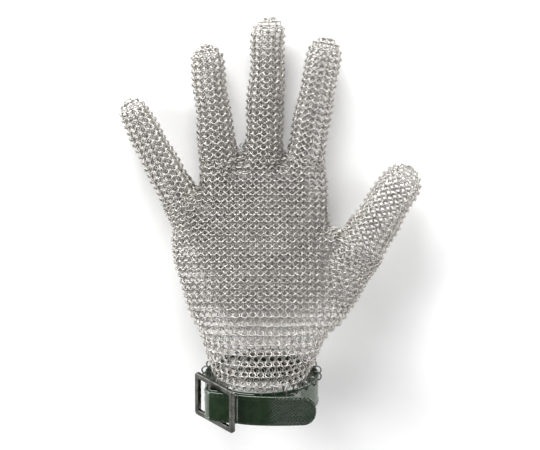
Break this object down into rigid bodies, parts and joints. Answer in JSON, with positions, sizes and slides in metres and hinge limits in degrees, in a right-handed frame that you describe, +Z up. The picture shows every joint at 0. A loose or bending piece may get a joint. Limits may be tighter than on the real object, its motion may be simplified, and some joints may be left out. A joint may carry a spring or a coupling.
{
  "type": "cut resistant glove",
  "caption": "Ring-mesh protective glove with separate jointed fingers, a wrist strap threaded through a steel slide buckle, lying palm up.",
  "frame": {"origin": "centre of the glove's outline on the surface that it lies on", "axes": "+Z up out of the palm, +Y from the wrist to the fingertips, +X to the thumb side"},
  "size_m": [0.155, 0.2164, 0.0553],
  "materials": {
    "mesh": "polished wire rings",
    "links": "polished wire rings",
    "strap": "glossy coated webbing",
    "buckle": "darkened steel"
  },
  "bodies": {
    "hand": {"palm_panel": "mesh", "back_panel": "mesh", "thumb_gusset": "mesh", "cuff_front": "mesh", "cuff_back": "mesh", "strap": "strap", "link_rings": "links"},
    "index_base": {"index_base": "mesh"},
    "index_middle": {"index_middle": "mesh"},
    "index_tip": {"index_tip": "mesh"},
    "middle_base": {"middle_base": "mesh"},
    "middle_middle": {"middle_middle": "mesh"},
    "middle_tip": {"middle_tip": "mesh"},
    "ring_base": {"ring_base": "mesh"},
    "ring_middle": {"ring_middle": "mesh"},
    "ring_tip": {"ring_tip": "mesh"},
    "little_base": {"little_base": "mesh"},
    "little_middle": {"little_middle": "mesh"},
    "little_tip": {"little_tip": "mesh"},
    "thumb_base": {"thumb_base": "mesh"},
    "thumb_tip": {"thumb_tip": "mesh"},
    "buckle": {"buckle_frame": "buckle"},
    "strap_tail": {"strap_tail": "strap"}
  },
  "joints": [
    {"name": "index_knuckle", "type": "hinge", "parent": "hand", "child": "index_base", "pos_m": [0.01548, 0.02481, 0.0136], "axis": [1, 0, 0], "range_deg": [0, 70]},
    {"name": "index_middle_joint", "type": "hinge", "parent": "index_base", "child": "index_middle", "pos_m": [0.02076, 0.05536, 0.0136], "axis": [1, 0, 0], "range_deg": [0, 80]},
    {"name": "index_end_joint", "type": "hinge", "parent": "index_middle", "child": "index_tip", "pos_m": [0.02425, 0.07556, 0.0136], "axis": [1, 0, 0], "range_deg": [0, 50]},
    {"name": "middle_knuckle", "type": "hinge", "parent": "hand", "child": "middle_base", "pos_m": [-0.00462, 0.02481, 0.0136], "axis": [1, 0, 0], "range_deg": [0, 70]},
    {"name": "middle_middle_joint", "type": "hinge", "parent": "middle_base", "child": "middle_middle", "pos_m": [-0.00379, 0.0588, 0.0136], "axis": [1, 0, 0], "range_deg": [0, 80]},
    {"name": "middle_end_joint", "type": "hinge", "parent": "middle_middle", "child": "middle_tip", "pos_m": [-0.0032, 0.08279, 0.0136], "axis": [1, 0, 0], "range_deg": [0, 50]},
    {"name": "ring_knuckle", "type": "hinge", "parent": "hand", "child": "ring_base", "pos_m": [-0.02482, 0.02481, 0.0136], "axis": [1, 0, 0], "range_deg": [0, 70]},
    {"name": "ring_middle_joint", "type": "hinge", "parent": "ring_base", "child": "ring_middle", "pos_m": [-0.02825, 0.05361, 0.0136], "axis": [1, 0, 0], "range_deg": [0, 80]},
    {"name": "ring_end_joint", "type": "hinge", "parent": "ring_middle", "child": "ring_tip", "pos_m": [-0.03056, 0.07297, 0.0136], "axis": [1, 0, 0], "range_deg": [0, 50]},
    {"name": "little_knuckle", "type": "hinge", "parent": "hand", "child": "little_base", "pos_m": [-0.04322, 0.00821, 0.0136], "axis": [0.9659, 0.2588, 0], "range_deg": [0, 70]},
    {"name": "little_middle_joint", "type": "hinge", "parent": "little_base", "child": "little_middle", "pos_m": [-0.05511, 0.03134, 0.0136], "axis": [0.9659, 0.2588, 0], "range_deg": [0, 80]},
    {"name": "little_end_joint", "type": "hinge", "parent": "little_middle", "child": "little_tip", "pos_m": [-0.0631, 0.0469, 0.0136], "axis": [0.9659, 0.2588, 0], "range_deg": [0, 50]},
    {"name": "thumb_root_joint", "type": "hinge", "parent": "hand", "child": "thumb_base", "pos_m": [0.0476, -0.00691, 0.021], "axis": [0.74, -0.4499, 0.5], "range_deg": [0, 30]},
    {"name": "thumb_end_joint", "type": "hinge", "parent": "thumb_base", "child": "thumb_tip", "pos_m": [0.05799, 0.01018, 0.021], "axis": [0.74, -0.4499, 0.5], "range_deg": [0, 55]},
    {"name": "buckle_tilt", "type": "hinge", "parent": "hand", "child": "buckle", "pos_m": [-0.02854, -0.09239, 0.0397], "axis": [0, -0.891, -0.454], "range_deg": [0, 6]},
    {"name": "strap_tail_lift", "type": "hinge", "parent": "hand", "child": "strap_tail", "pos_m": [-0.0154, -0.0963, 0.04738], "axis": [0, -0.891, -0.454], "range_deg": [0, 70]}
  ]
}
